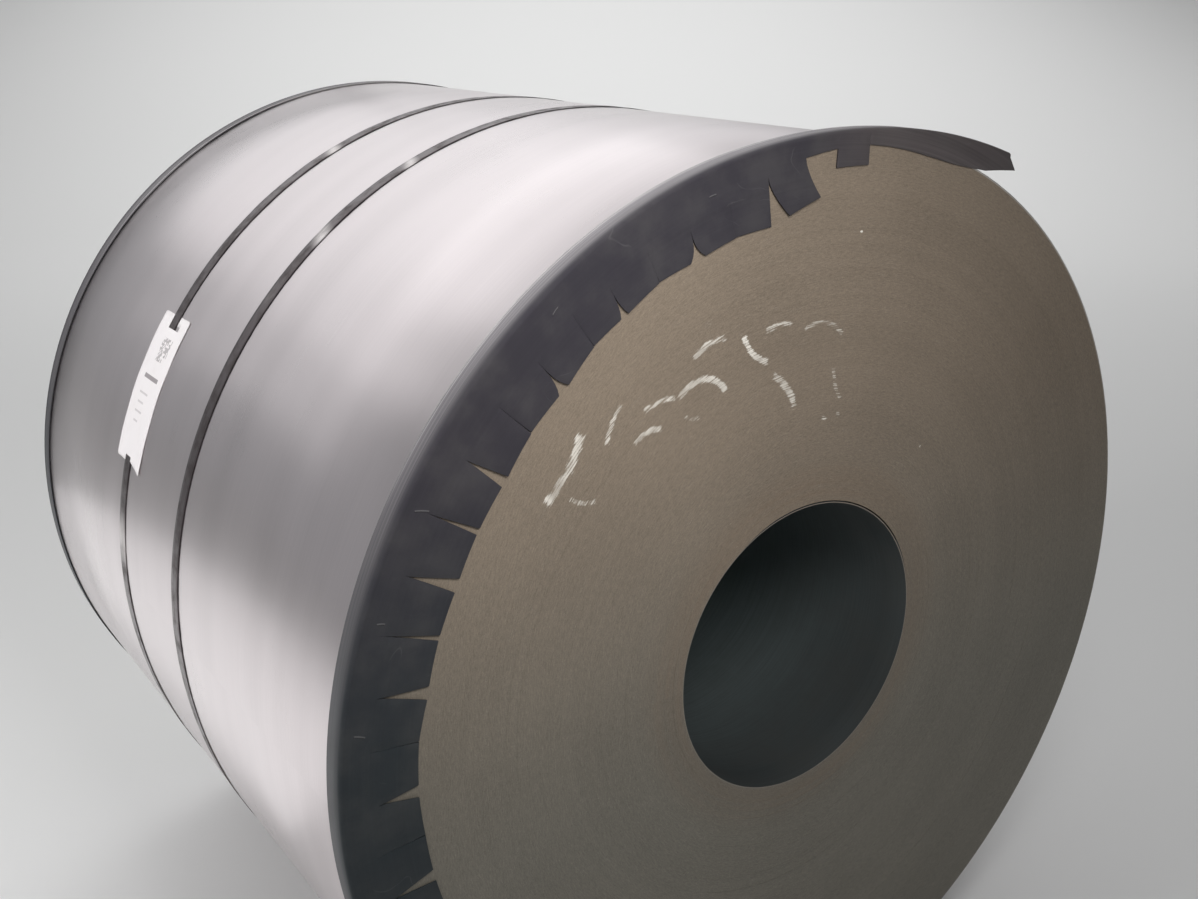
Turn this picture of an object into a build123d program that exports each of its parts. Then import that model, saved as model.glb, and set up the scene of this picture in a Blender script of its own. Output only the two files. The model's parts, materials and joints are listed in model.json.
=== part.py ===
"""A strapped coil of sheet steel with plastic guards on its two outer edges.

Millimetres and degrees. +Y runs along the bore, away from the end that carries
the sprung tail of the guard. +Z is up. The origin is in the middle of the bore.
Angles go round the coil from +X by way of +Z.
"""
import os
from math import cos, sin, radians, degrees

from build123d import *

# The coil: a standard bore and sheet width.
coilWidth = 1500.0
coilRadius = 835.0
boreRadius = 254.0

# Groups of laps stand a little back from the flush outer laps, on both ends.
# Each pair is how far up the winding a group ends and how far it stands back.
lapGroups = [(0.69, 0.6), (0.53, 0.2), (0.34, 0.8), (0.20, 0.3), (0.10, 0.9), (0.04, 0.4)]

# The edge guard: an L of plastic with one leg on the outer lap, one on the end.
guardGap = 0.3
guardThickness = 4.0
guardLapLeg = 36.0
guardEndLeg = 120.0

# The leg on the end is cut into fingers. Every second cut is a wide notch and
# the one between is a plain seam, where the tips stand back a little.
notchPitchAngle = 11.65
notchDepth = 76.0
notchMouth = 20.0
seamStepBack = 4.0
seamDepth = 60.0
shutSeamMouth = 0.8
openSeamMouth = 7.0
openSeamAngles = (145.0, 165.0)

# The front guard was bent round by hand, so its first notches stray from an
# even pitch. The rest of them follow at the even pitch.
firstNotchAngles = [98.3, 110.0, 121.2, 131.8, 143.5, 155.7, 168.0, 179.7]

# The front guard stops just past the bottom of the coil at one end. At the
# other it has sprung off the coil, and most of its fingers are gone.
guardEndAngle = 287.0
tailStartAngle = 102.0
tailRadius = 1120.0
tailLength = 600.0
tailWebStart = 24.0
tailWebEnd = 41.0
tailWebGrowth = 177.0

# What is left of the finger on the tail, measured along the tail.
stubStart = 189.0
stubLength = 67.0
stubDepth = 54.0

# The finger beside the first notch has turned on its root and stands proud.
# Each pair is a depth below the rim of the coil and an angle.
turnedFinger = [
    (14.0, 97.6), (39.0, 97.9), (93.0, 96.6), (102.6, 95.8), (84.7, 91.6), (23.3, 93.6), (12.0, 94.0),
]
turnedFingerProud = 2.5

# Two steel straps round the coil, each closed by a plain lap on its far side.
strapWidth = 32.0
strapThickness = 0.9
strapGap = 0.1
frontStrapY = -100.0
rearStrapY = 191.0
strapLapLength = 85.0
strapLapAngle = -48.0

# The tag lies over the rear strap. A hooked slot opens to its upper end and a
# plain notch to its lower one. The far sides are measured from the strap's middle.
tagWidth = 126.0
tagLength = 284.0
tagThickness = 0.6
tagGap = 0.1
tagCorner = 9.0
tagMiddleAngle = 154.6
tagFarSide = 59.0
slotFarSide = 14.0
slotMouth = 35.0
slotMouthLength = 18.0
slotHook = 48.0
slotHookLength = 9.0
lowerNotch = 28.0
lowerNotchLength = 11.0

guardInner = coilRadius + guardGap
guardOuter = guardInner + guardThickness
tipRadius = guardOuter - guardEndLeg
seamTipRadius = tipRadius + seamStepBack
stubEnd = stubStart + stubLength
strapInner = coilRadius + strapGap
strapOuter = strapInner + strapThickness
tagInner = strapOuter + tagGap
tagOuter = tagInner + tagThickness


def polar(radius, angle):
    return (radius * cos(radians(angle)), radius * sin(radians(angle)))


def turn(length, radius):
    """The angle that a length takes up round a circle."""
    return degrees(length / radius)


def arc(centre, radius, start, end):
    """An arc from one angle to another, through the angle half-way between."""
    points = [polar(radius, angle) for angle in (start, (start + end) / 2, end)]
    return ThreePointArc(*[(centre[0] + x, centre[1] + z) for x, z in points])


def flatFace(pieces):
    """A flat face inside a closed run of lines and arcs."""
    return make_face(Wire([edge for piece in pieces for edge in piece.edges()]))


def alongY(flat, low, high):
    """Extrudes an outline drawn in X and Z from one Y to another."""
    return Pos(0, high, 0) * extrude(Plane.XZ * flat, high - low)


def fullRing(inner, outer, low, high):
    return alongY(Circle(outer) - Circle(inner), low, high)


def ringSector(inner, outer, start, end, low, high):
    outline = flatFace([
        arc((0, 0), outer, start, end),
        Line(polar(outer, end), polar(inner, end)),
        arc((0, 0), inner, end, start),
        Line(polar(inner, start), polar(outer, start)),
    ])
    return alongY(outline, low, high)


def coil():
    """One turned solid: its ends are stepped where a group of laps begins."""
    halfWidth = coilWidth / 2
    setback = 0.0
    end = [(coilRadius, halfWidth)]
    for share, depth in lapGroups:
        radius = boreRadius + share * (coilRadius - boreRadius)
        end.append((radius, halfWidth - setback))
        end.append((radius, halfWidth - depth))
        setback = depth
    end.append((boreRadius, halfWidth - setback))
    otherEnd = [(radius, -y) for radius, y in reversed(end)]
    profile = make_face(Polyline(*end, *otherEnd, close=True))
    return revolve(profile, Axis.Y)


def cut(angle, mouth, depth, tip):
    """The three corners of one cut between two fingers, going round the coil."""
    half = turn(mouth / 2, tip)
    return [polar(tip, angle - half), polar(tip + depth, angle), polar(tip, angle + half)]


def notch(angle):
    return cut(angle, notchMouth, notchDepth, tipRadius)


def seam(angle):
    opened = openSeamAngles[0] < angle < openSeamAngles[1]
    return cut(angle, openSeamMouth if opened else shutSeamMouth, seamDepth, seamTipRadius)


def rearGuard():
    """A closed ring of the guard on the far end."""
    endFace = coilWidth / 2 + guardGap
    count = round(360 / notchPitchAngle)
    pitch = 360 / count
    tips = []
    for number in range(count):
        tips += notch(number * pitch)
        tips += cut((number + 0.5) * pitch, shutSeamMouth, seamDepth, seamTipRadius)
    leg = Circle(guardOuter) - make_face(Polyline(*tips, close=True))
    endLeg = alongY(leg, endFace, endFace + guardThickness)
    lapLeg = fullRing(guardInner, guardOuter, endFace - guardLapLeg, endFace + guardThickness)
    return endLeg + lapLeg


tailCentre = polar(guardOuter - tailRadius, tailStartAngle)


def tailPoint(length, depth):
    """A point on the tail, so far along it and so deep below its top."""
    x, z = polar(tailRadius - depth, tailStartAngle - turn(length, tailRadius))
    return (tailCentre[0] + x, tailCentre[1] + z)


def webPoint(length):
    """A point on the free edge of the tail's leg, which deepens past the stub."""
    share = min(max((length - stubEnd) / tailWebGrowth, 0), 1)
    return tailPoint(length, tailWebStart + (tailWebEnd - tailWebStart) * share)


def notchAngles():
    """The notches of the front guard, as far as it reaches."""
    angles = list(firstNotchAngles)
    while angles[-1] + notchPitchAngle < guardEndAngle - notchPitchAngle / 4:
        angles.append(angles[-1] + notchPitchAngle)
    return angles


def frontGuard():
    """The guard on the near end: fingers, one turned finger, a stub and the tail."""
    endFace = -coilWidth / 2 - guardGap
    tailEndAngle = tailStartAngle - turn(tailLength, tailRadius)
    top = [
        arc((0, 0), guardOuter, guardEndAngle, tailStartAngle),
        arc(tailCentre, tailRadius, tailStartAngle, tailEndAngle),
    ]

    inner = [webPoint(stubEnd + (tailLength - stubEnd) * share) for share in (1.0, 0.8, 0.6, 0.4, 0.2, 0)]
    inner += [tailPoint(stubEnd, stubDepth), tailPoint(stubStart, stubDepth), webPoint(stubStart)]
    finger = [polar(coilRadius - depth, angle) for depth, angle in turnedFinger]
    inner.append(finger[-2])
    angles = notchAngles()
    inner += notch(angles[0])[1:]
    for before, after in zip(angles, angles[1:]):
        inner += seam((before + after) / 2) + notch(after)
    inner.append(polar(seamTipRadius, guardEndAngle))
    outline = top + [Line(top[1] @ 1, inner[0]), Polyline(*inner), Line(inner[-1], top[0] @ 0)]
    endLeg = alongY(flatFace(outline), endFace - guardThickness, endFace)

    lapOutline = top + [
        Line(top[1] @ 1, tailPoint(tailLength, guardThickness)),
        arc(tailCentre, tailRadius - guardThickness, tailEndAngle, tailStartAngle),
        arc((0, 0), guardInner, tailStartAngle, guardEndAngle),
        Line(polar(guardInner, guardEndAngle), top[0] @ 0),
    ]
    lapLeg = alongY(flatFace(lapOutline), endFace - guardThickness, endFace + guardLapLeg)

    fingerBack = endFace - turnedFingerProud
    turned = alongY(make_face(Polyline(*finger, close=True)), fingerBack - guardThickness, fingerBack)
    return endLeg + lapLeg + turned


def strap(middle):
    """A band round the coil, doubled for a short way where its ends lap."""
    low = middle - strapWidth / 2
    high = middle + strapWidth / 2
    lapEndAngle = strapLapAngle + turn(strapLapLength, strapOuter)
    band = fullRing(strapInner, strapOuter, low, high)
    lap = ringSector(strapOuter, strapOuter + strapThickness, strapLapAngle, lapEndAngle, low, high)
    return band + lap


def tag():
    """A bent card with a hooked slot at its upper end and a notch at its lower one."""
    half = turn(tagLength / 2, tagOuter)
    upper = tagMiddleAngle - half
    lower = tagMiddleAngle + half
    farSide = rearStrapY + tagFarSide
    card = ringSector(tagInner, tagOuter, upper, lower, farSide - tagWidth, farSide)
    corners = card.edges().filter_by(lambda edge: abs(edge.length - tagThickness) < tagThickness / 10)
    card = fillet(corners, tagCorner)

    slotSide = rearStrapY + slotFarSide
    mouth = upper + turn(slotMouthLength, tagOuter)
    hook = mouth + turn(slotHookLength, tagOuter)
    notchTop = lower - turn(lowerNotchLength, tagOuter)
    past = turn(slotMouthLength, tagOuter)
    low = tagInner - tagThickness
    high = tagOuter + tagThickness
    cuts = [(slotMouth, upper - past, mouth), (slotHook, mouth, hook), (lowerNotch, notchTop, lower + past)]
    for width, start, end in cuts:
        card -= ringSector(low, high, start, end, slotSide - width, slotSide)
    return card


os.makedirs("parts", exist_ok=True)
export_step(coil(), "parts/steel_coil.step")
export_step(strap(frontStrapY), "parts/strap_front.step")
export_step(strap(rearStrapY), "parts/strap_rear.step")
export_step(tag(), "parts/coil_tag.step")
export_step(frontGuard(), "parts/edge_guard_front.step")
export_step(rearGuard(), "parts/edge_guard_rear.step")
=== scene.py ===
import json
import math
import random
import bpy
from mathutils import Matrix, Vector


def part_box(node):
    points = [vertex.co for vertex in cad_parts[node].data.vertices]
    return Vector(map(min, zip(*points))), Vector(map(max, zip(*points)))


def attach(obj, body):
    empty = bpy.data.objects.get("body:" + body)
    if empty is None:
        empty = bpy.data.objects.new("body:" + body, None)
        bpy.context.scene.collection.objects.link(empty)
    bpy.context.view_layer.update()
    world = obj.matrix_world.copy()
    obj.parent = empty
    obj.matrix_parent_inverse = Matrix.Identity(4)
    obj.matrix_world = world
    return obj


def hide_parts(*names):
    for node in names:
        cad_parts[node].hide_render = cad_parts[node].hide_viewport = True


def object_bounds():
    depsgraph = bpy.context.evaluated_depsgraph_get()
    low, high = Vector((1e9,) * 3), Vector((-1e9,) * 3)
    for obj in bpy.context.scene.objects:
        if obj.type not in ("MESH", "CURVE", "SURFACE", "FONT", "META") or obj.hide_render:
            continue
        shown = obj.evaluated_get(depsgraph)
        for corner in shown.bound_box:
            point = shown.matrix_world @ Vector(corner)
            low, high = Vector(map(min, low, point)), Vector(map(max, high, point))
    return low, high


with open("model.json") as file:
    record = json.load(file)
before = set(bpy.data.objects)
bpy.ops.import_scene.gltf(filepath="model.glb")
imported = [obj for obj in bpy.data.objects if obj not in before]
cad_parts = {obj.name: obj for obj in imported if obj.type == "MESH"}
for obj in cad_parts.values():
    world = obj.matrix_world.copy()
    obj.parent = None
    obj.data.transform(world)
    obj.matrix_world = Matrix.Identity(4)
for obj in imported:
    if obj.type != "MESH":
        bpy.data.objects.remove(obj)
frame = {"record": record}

from types import SimpleNamespace

import bmesh
import bpy
from mathutils import Vector

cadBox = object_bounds()
mm = 0.001
weld = 0.00001  # metres within which two points become one
print("stage: frame loaded")


# A value in a node tree, so that a formula can be written as one.
class Flow:
    def __init__(self, tree, socket):
        self.tree = tree
        self.socket = socket

    def maths(self, operation, *others):
        node = self.tree.nodes.new("ShaderNodeMath")
        node.operation = operation
        for socket, value in zip(node.inputs, (self,) + others):
            feed(self.tree, socket, value)
        return Flow(self.tree, node.outputs[0])

    def __add__(self, other):
        return self.maths("ADD", other)

    def __sub__(self, other):
        return self.maths("SUBTRACT", other)

    def __rsub__(self, other):
        return self * -1 + other

    def __mul__(self, other):
        return self.maths("MULTIPLY", other)

    def __truediv__(self, other):
        return self.maths("DIVIDE", other)

    def __pow__(self, other):
        return self.maths("POWER", other)

    __radd__ = __add__
    __rmul__ = __mul__


def feed(tree, socket, value):
    if isinstance(value, Flow):
        tree.links.new(value.socket, socket)
    elif value is not None:
        socket.default_value = value


def addNode(tree, kind, inputs=None, **settings):
    node = tree.nodes.new(kind)
    for name, value in settings.items():
        setattr(node, name, value)
    for name, value in (inputs or {}).items():
        feed(tree, node.inputs[name], value)
    return node


def out(node, name=0):
    return Flow(node.id_data, node.outputs[name])


def ramp(value, low, high, toLow=0.0, toHigh=1.0, smooth=False):
    inputs = {"Value": value, "From Min": low, "From Max": high, "To Min": toLow, "To Max": toHigh}
    shape = "SMOOTHSTEP" if smooth else "LINEAR"
    return out(addNode(value.tree, "ShaderNodeMapRange", inputs, interpolation_type=shape))


def mixed(share, start, end):
    return share * (end - start) + start


def blended(share, first, second):
    # two colours, or two flows of colour, mixed by a share from 0 to 1
    node = share.tree.nodes.new("ShaderNodeMix")
    node.data_type = "RGBA"
    feed(share.tree, node.inputs[0], share)
    feed(share.tree, node.inputs[6], first)
    feed(share.tree, node.inputs[7], second)
    return Flow(share.tree, node.outputs[2])


def layered(values, colour, *layers):
    # a colour with layers over it, each a share and the name of its colour
    for share, name in layers:
        colour = blended(share, colour, values[name])
    return colour


def tinted(colour, factor):
    # a colour made darker or lighter by a flow round 1
    node = addNode(factor.tree, "ShaderNodeVectorMath", operation="SCALE")
    feed(factor.tree, node.inputs[0], colour if isinstance(colour, Flow) else colour[:3])
    feed(factor.tree, node.inputs["Scale"], factor)
    return out(node)


def vectorOf(tree, x, y, z):
    return out(addNode(tree, "ShaderNodeCombineXYZ", {"X": x, "Y": y, "Z": z}))


def partsOf(vector):
    node = addNode(vector.tree, "ShaderNodeSeparateXYZ", {"Vector": vector})
    return out(node, "X"), out(node, "Y"), out(node, "Z")


def makeTree(name, kind, inputs, output):
    # kind is Geometry or Shader; inputs are socket names by their kind, and every use gives all of them
    tree = bpy.data.node_groups.new(name, kind + "NodeTree")
    tree.interface.new_socket("Result", in_out="OUTPUT", socket_type="NodeSocket" + output)
    for socketKind, names in inputs.items():
        for socketName in names.split():
            tree.interface.new_socket(socketName, in_out="INPUT", socket_type="NodeSocket" + socketKind)
    sockets = tree.nodes.new("NodeGroupInput").outputs
    return tree, SimpleNamespace(**{socket.name: Flow(tree, socket) for socket in sockets if socket.name})


def giveResult(tree, flow):
    feed(tree, tree.nodes.new("NodeGroupOutput").inputs["Result"], flow)
    return tree


def step(tree, kind, inputs, **settings):
    # one Geometry Nodes step, as the geometry or value that it gives
    return out(addNode(tree, "GeometryNode" + kind, inputs, **settings))


def giveMesh(tree, geometry, material):
    real = step(tree, "RealizeInstances", {"Geometry": geometry})
    return giveResult(tree, step(tree, "SetMaterial", {"Geometry": real, "Material": material}))


def placed(name, data):
    # a new object in the scene that shows this data
    holder = bpy.data.objects.new(name, data)
    bpy.context.scene.collection.objects.link(holder)
    return holder


def runTree(tree, name, startMesh, values):
    # runs a geometry tree on a mesh and keeps the result as a plain mesh object
    holder = placed(name, startMesh)
    modifier = holder.modifiers.new("nodes", "NODES")
    modifier.node_group = tree
    for item in tree.interface.items_tree:
        if item.in_out == "INPUT" and item.name in values:
            modifier[item.identifier] = values[item.name]
    settle(holder)
    return holder


def settle(holder):
    # makes the result of the modifiers the object's own mesh
    bpy.context.view_layer.update()
    shown = holder.evaluated_get(bpy.context.evaluated_depsgraph_get())
    mesh = bpy.data.meshes.new_from_object(shown)
    holder.modifiers.clear()
    holder.data = mesh
    mesh.name = holder.name


def inMetres(values, *names):
    return {name: values[name] * mm for name in names}


def inRadians(values, *names):
    return {name: math.radians(values[name]) for name in names}


def pointMesh(name, points, readings):
    # a mesh of loose points, each with named readings
    mesh = bpy.data.meshes.new(name)
    mesh.from_pydata(points, [], [])
    for key, numbers in readings.items():
        attribute = mesh.attributes.new(key, "FLOAT", "POINT")
        attribute.data.foreach_set("value", numbers)
    return mesh


def reading(tree, name):
    return step(tree, "InputNamedAttribute", {"Name": name}, data_type="FLOAT")


def store(tree, geometry, name, value):
    return step(tree, "StoreNamedAttribute", {"Geometry": geometry, "Name": name, "Value": value},
                data_type="FLOAT", domain="POINT")


def newMaterial(name, metallic=0.0):
    material = bpy.data.materials.new(name)
    material.use_nodes = True
    tree = material.node_tree
    shader = tree.nodes["Principled BSDF"]
    shader.inputs["Metallic"].default_value = metallic
    return material, tree, shader


camera = {
    "place": (-1.4118, -2.1428, 1.0365),  # metres from the middle of the bore
    "yaw": -35.536,
    "pitch": -19.321,
    "focalPixels": 1307.0,
    "frameWidth": 1198,
    "sensor": 36.0,
}


def makeCamera(values):
    data = bpy.data.cameras.new("camera")
    data.sensor_fit = "HORIZONTAL"
    data.sensor_width = values["sensor"]
    data.lens = values["focalPixels"] / values["frameWidth"] * values["sensor"]
    data.clip_end = 100
    holder = placed("camera", data)
    holder.location = values["place"]
    holder.rotation_euler = (math.radians(90 + values["pitch"]), 0, math.radians(values["yaw"]))
    bpy.context.scene.camera = holder


makeCamera(camera)

stage = {
    "floor": cadBox[0][2],  # height that the guards stand on
    "half": 24.0,
    "cells": 120,
    "highest": 6.0,
    "colour": (0.80, 0.80, 0.795, 1),
    "roughness": 0.9,
    # the floor rises gently behind the coil, so that it fills the view
    "riseFrom": 7.0,
    "rise": 0.035,
    "riseHalfWidth": 14.0,
    # the walls of the studio: lighter behind the coil than in front of it, and dimmer upwards
    "wallBack": (0.38, 0.385, 0.395, 1),
    "wallFront": (0.07, 0.073, 0.074, 1),
    "wallTurn": (-0.35, 0.94, 0.0),
    "wallFade": (0.25, 0.75, 0.30),
    # the wide soft light overhead: azimuth and elevation it comes from, its spread and strength
    "skyFrom": (12.0, 62.0),
    "skySpread": 96.0,
    "skyStrength": 0.89,
    # place, aim, width and height in metres, brightness, spread in degrees, and whether metal mirrors it
    "panels": {
        "keySoftbox": ((-0.62, -1.72, 1.38), (-0.46, -0.75, 0.60), (0.8, 0.6), 7.4, 120, False),
        "lowSoftbox": ((-2.95, 1.70, -0.80), (-2.95, 1.70, 2.0), (4.0, 3.0), 0.47, 180, True),
        "backSoftbox": ((0.2, 6.8, 3.8), (0.0, 0.0, 0.6), (4.6, 3.8), 0.35, 180, True),
        "topSoftbox": ((5.5, 7.5, 4.4), (0.0, 0.0, 0.6), (5.0, 5.0), 0.33, 180, True),
        "rimSoftbox": ((0.0, 2.55, 3.60), (0.0, 0.0, 0.6), (4.4, 1.9), 0.78, 180, True),
        "shoulderSoftbox": ((-2.15, 2.55, 1.85), (0.0, 0.0, 0.6), (1.5, 1.8), 0.41, 180, True),
        "leftSoftbox": ((-4.4, 0.4, 2.0), (-0.8, 0.2, 0.3), (2.0, 2.0), 3.0, 120, False),
        "floorSoftbox": ((7.0, 10.0, 6.0), (7.0, 10.0, -0.8), (12.0, 12.0), 0.8, 120, False),
    },
}


def makeFloor(values):
    cells = values["cells"]
    half = values["half"]
    view = math.radians(90 + camera["yaw"])
    points = []
    for j in range(cells + 1):
        for i in range(cells + 1):
            x = (2 * i / cells - 1) * half
            y = (2 * j / cells - 1) * half
            away = x * math.cos(view) + y * math.sin(view)
            aside = (x * math.sin(view) - y * math.cos(view)) / values["riseHalfWidth"]
            height = values["rise"] * max(0.0, away - values["riseFrom"]) ** 2 * math.exp(-aside ** 4)
            points.append((x, y, values["floor"] + min(height, values["highest"])))
    wide = cells + 1
    faces = [(j * wide + i, j * wide + i + 1, (j + 1) * wide + i + 1, (j + 1) * wide + i)
             for j in range(cells) for i in range(cells)]
    mesh = bpy.data.meshes.new("floor")
    mesh.from_pydata(points, [], faces)
    mesh.shade_smooth()
    floor = placed("floor", mesh)
    material, _, shader = newMaterial("paleFloor")
    shader.inputs["Roughness"].default_value = values["roughness"]
    shader.inputs["Base Color"].default_value = values["colour"]
    mesh.materials.append(material)


def makeLights(values):
    world = bpy.data.worlds.new("studio")
    bpy.context.scene.world = world
    world.use_nodes = True
    tree = world.node_tree
    direction = out(addNode(tree, "ShaderNodeTexCoord"), "Generated")
    facing = addNode(tree, "ShaderNodeVectorMath", operation="DOT_PRODUCT")
    feed(tree, facing.inputs[0], direction)
    feed(tree, facing.inputs[1], values["wallTurn"])
    share = ramp(out(facing, "Value"), -0.5, 0.5, smooth=True)
    wall = blended(share, values["wallFront"], values["wallBack"])
    low, high, dim = values["wallFade"]
    fade = ramp(partsOf(direction)[2], low, high, 1, dim, smooth=True)
    feed(tree, tree.nodes["Background"].inputs["Color"], tinted(wall, fade))

    azimuth, elevation = (math.radians(angle) for angle in values["skyFrom"])
    sky = bpy.data.lights.new("softSky", "SUN")
    sky.energy = values["skyStrength"]
    sky.angle = math.radians(values["skySpread"])
    holder = placed("softSky", sky)
    source = Vector((math.sin(azimuth) * math.cos(elevation), math.cos(azimuth) * math.cos(elevation),
                     math.sin(elevation)))
    holder.rotation_euler = source.to_track_quat("Z", "Y").to_euler()

    for name, (place, aim, size, brightness, spread, mirrored) in values["panels"].items():
        data = bpy.data.lights.new(name, "AREA")
        data.shape = "RECTANGLE"
        data.size, data.size_y = size
        data.energy = brightness * math.pi * size[0] * size[1]
        data.spread = math.radians(spread)
        lamp = placed(name, data)
        lamp.location = place
        lamp.visible_camera = False
        lamp.visible_glossy = mirrored
        lamp.rotation_euler = (Vector(aim) - Vector(place)).to_track_quat("-Z", "Y").to_euler()
    bpy.context.scene.view_settings.view_transform = "Standard"


makeFloor(stage)
makeLights(stage)
print("stage: camera, floor and lamps")


def noiseOn(place, scale, detail, roughness=0.5, distortion=0.0):
    return out(addNode(place.tree, "ShaderNodeTexNoise", {
        "Vector": place, "Scale": scale, "Detail": detail, "Roughness": roughness,
        "Distortion": distortion}), "Fac")


def moved(place, x, y, z):
    node = addNode(place.tree, "ShaderNodeVectorMath", operation="ADD")
    feed(place.tree, node.inputs[0], place)
    feed(place.tree, node.inputs[1], vectorOf(place.tree, x, y, z))
    return out(node)


# Effects that more than one finish uses, each a node group.
def drawnLinesGroup():
    # fine lines along one direction, as rolling, winding or extruding leaves them
    tree, given = makeTree("drawnLines", "Shader", {
        "Float": "across along perMetre length rough seed"}, "Float")
    across = given.across * given.perMetre
    place = vectorOf(tree, across, given.along / given.length, given.seed)
    lines = noiseOn(place, 1.0, 4.0, given.rough)
    return giveResult(tree, ramp(lines, 0.14, 0.86, smooth=True))


def grimeGroup():
    # soft uneven patches of dust or dirt
    tree, given = makeTree("grime", "Shader", {
        "Vector": "place", "Float": "size cover softness seed"}, "Float")
    seed = given.seed
    place = moved(given.place, seed, seed * 0.37, seed * -0.71)
    patches = noiseOn(place, given.size ** -1.0, 6.0, 0.62)
    edge = 1 - given.cover
    return giveResult(tree, ramp(patches, edge - given.softness, edge + given.softness, smooth=True))


def roundBoreGroup():
    # radius, angle and place along the bore of a point on the coil, as one vector
    tree, given = makeTree("roundBore", "Shader", {"Vector": "place"}, "Vector")
    x, y, z = partsOf(given.place)
    return giveResult(tree, vectorOf(tree, (x * x + z * z).maths("SQRT"), z.maths("ARCTAN2", x), y))


def strokeGroup():
    # one stroke on the end, as of chalk: an arc of a circle with soft ends
    tree, given = makeTree("stroke", "Shader", {
        "Float": "x z centreX centreZ radius middle halfSweep width strength"}, "Float")
    x = given.x - given.centreX
    z = given.z - given.centreZ
    width = given.width
    away = ((x * x + z * z).maths("SQRT") - given.radius).maths("ABSOLUTE")
    turned = (z.maths("ARCTAN2", x) - given.middle).maths("WRAP", -math.pi, math.pi)
    past = (turned.maths("ABSOLUTE") - given.halfSweep) * given.radius
    side = ramp(away, width * 0.18, width * 0.55, 1, 0, smooth=True)
    ends = ramp(past, width * -0.4, width * 0.2, 1, 0, smooth=True)
    return giveResult(tree, side * ends * given.strength)


drawnLines = drawnLinesGroup()
grime = grimeGroup()
roundBore = roundBoreGroup()
stroke = strokeGroup()


def useGroup(tree, group, **inputs):
    return out(addNode(tree, "ShaderNodeGroup", inputs, node_tree=group))


def onObject(tree):
    # a spot on the object, and its radius, angle and place along the bore
    place = out(addNode(tree, "ShaderNodeTexCoord"), "Object")
    return (place, *partsOf(useGroup(tree, roundBore, place=place)))


def linesOn(across, along, perMetre, length, rough=0.6, seed=0.0):
    return useGroup(across.tree, drawnLines, across=across, along=along, perMetre=perMetre, length=length,
                    rough=rough, seed=seed)


def patchesOn(place, size, cover, softness, seed):
    return useGroup(place.tree, grime, place=place, size=size, cover=cover, softness=softness, seed=seed)


def strongest(masks):
    # the highest of several masks at each spot
    top, *others = masks
    for mask in others:
        top = top.maths("MAXIMUM", mask)
    return top


def giveFinish(shader, values, colour, rougher, height, distance=mm, strength=1.0):
    # the colour, the roughness and the bumps that a material ends in
    tree = shader.id_data
    bump = addNode(tree, "ShaderNodeBump", {"Height": height, "Distance": distance, "Strength": strength})
    feed(tree, shader.inputs["Base Color"], colour)
    feed(tree, shader.inputs["Roughness"], rougher + values["roughness"])
    feed(tree, shader.inputs["Normal"], out(bump, "Normal"))


print("stage: shared finishes")

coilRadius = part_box("steel_coil")[1][0]
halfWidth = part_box("steel_coil")[1][1]
boreRadius = frame["record"]["mounts"][0]["dims"]["r_mm"] * mm

coil = {
    "facetsRound": 180,
    "stepsOnEnd": 64,  # groups of laps that stand a little in or out
    "stepDepth": 0.3,  # mm, the most that one group stands back
    # how far up the winding a broad group ends, and how far it stands back in mm
    "broadGroups": [(0.69, 0.3), (0.53, 0.1), (0.34, 0.4), (0.20, 0.2), (0.10, 0.5), (0.04, 0.2)],
    "rimRounding": 0.7,
    "lapThickness": 1.5,
    "lapEndAngle": -68.0,  # where the outer lap ends, on the hidden side
    "lapEndEase": 25.0,
    "looseLap": 1.8,  # thickness of the innermost lap, which has sagged
    "looseGap": 4.5,
    "looseDepth": 60.0,
    "looseFrom": 15.0,
    "looseTo": 125.0,
    "seed": 11,
}


def coilProfile(values):
    # the outline from the front rim over the bore to the rear rim, and along the outer lap
    dice = random.Random(values["seed"])

    def end():
        broad = values["broadGroups"]
        rise = coilRadius - boreRadius
        rounding = values["rimRounding"] * mm
        firstStep = boreRadius + (values["looseLap"] + 2.0) * mm
        lastStep = coilRadius - 2.2 * mm
        edges = sorted(dice.uniform(firstStep, lastStep) for _ in range(values["stepsOnEnd"] - 1))
        edges = [coilRadius - values["lapThickness"] * 1.3 * mm] + edges[::-1]
        points = [(coilRadius, halfWidth - rounding, 0, 1),
                  (coilRadius - rounding * 0.3, halfWidth - rounding * 0.3, 0, 1),
                  (coilRadius - rounding, halfWidth, 0, 1)]
        setback = 0.0
        for radius in edges:
            share = (radius - boreRadius) / rise
            base = ([0.0] + [depth for limit, depth in broad if share < limit])[-1]
            deeper = (base + dice.uniform(0.05, values["stepDepth"])) * mm
            points.append((radius, halfWidth - setback, 0, 0))
            points.append((radius, halfWidth - deeper, 0, 0))
            setback = deeper
        lap = boreRadius + values["looseLap"] * mm
        deep = halfWidth - values["looseDepth"] * mm
        slit, lip = 0.1 * mm, 0.3 * mm
        last = halfWidth - setback - slit
        return points + [
            (lap + slit, halfWidth - setback, 1, 0), (lap + slit, deep, 1, 0), (lap, deep, 0, 0),
            (lap, last, 0, 0), (boreRadius + lip, last, 0, 0), (boreRadius, last - lip, 0, 0)]

    front = [(radius, -y, loose, outer) for radius, y, loose, outer in end()]
    rear = [(radius, y, loose, outer) for radius, y, loose, outer in reversed(end())]
    lapSide = [(coilRadius, y, 0, 1) for y in (halfWidth * 0.5, 0.0, -halfWidth * 0.5)]
    radii, places, loose, outer = zip(*front, *rear, *lapSide, front[0])
    points = [(radius, y, 0) for radius, y in zip(radii, places)]
    return pointMesh("coilProfile", points, {"loose": loose, "outer": outer})


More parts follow.
